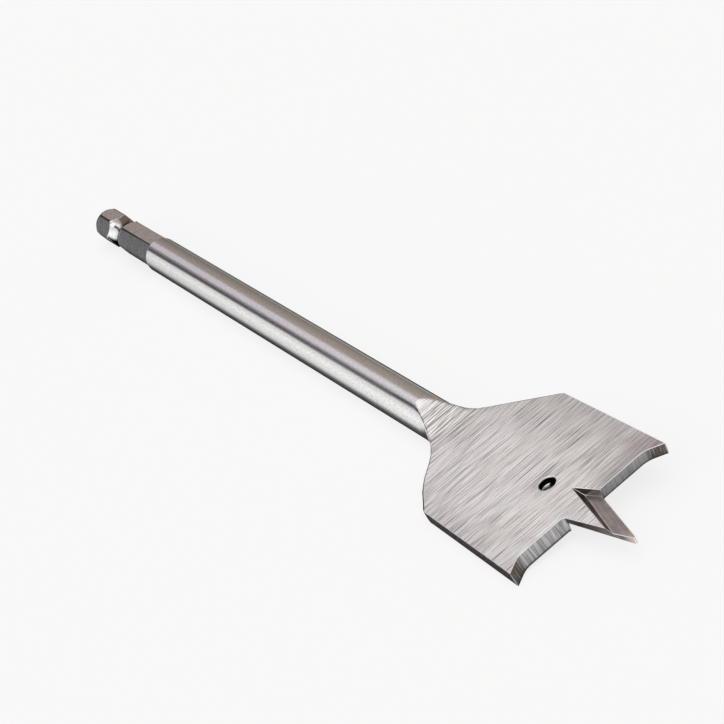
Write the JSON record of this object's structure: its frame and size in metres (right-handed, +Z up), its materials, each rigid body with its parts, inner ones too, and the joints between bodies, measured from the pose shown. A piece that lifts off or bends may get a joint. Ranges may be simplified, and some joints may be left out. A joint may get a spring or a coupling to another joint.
{
  "type": "spade drill bit",
  "caption": "Flat spade bit for boring wood: hexagonal quick-change shank, round shaft, and a flat blade with ground lips, outer spurs, a hollow-ground centre point and a pull hole.",
  "frame": {"origin": "on the floor below the bit's axis, halfway between the rear of the shank and the tip", "axes": "+X along the bit's axis toward the tip, +Z up from the floor that the shaft and one spur lie on"},
  "size_m": [0.197, 0.032, 0.0073],
  "materials": {
    "ground_steel": "bare tool steel, ground across the blade and drawn along the shaft"
  },
  "bodies": {
    "root": {"spade_bit": "ground_steel"}
  },
  "joints": []
}
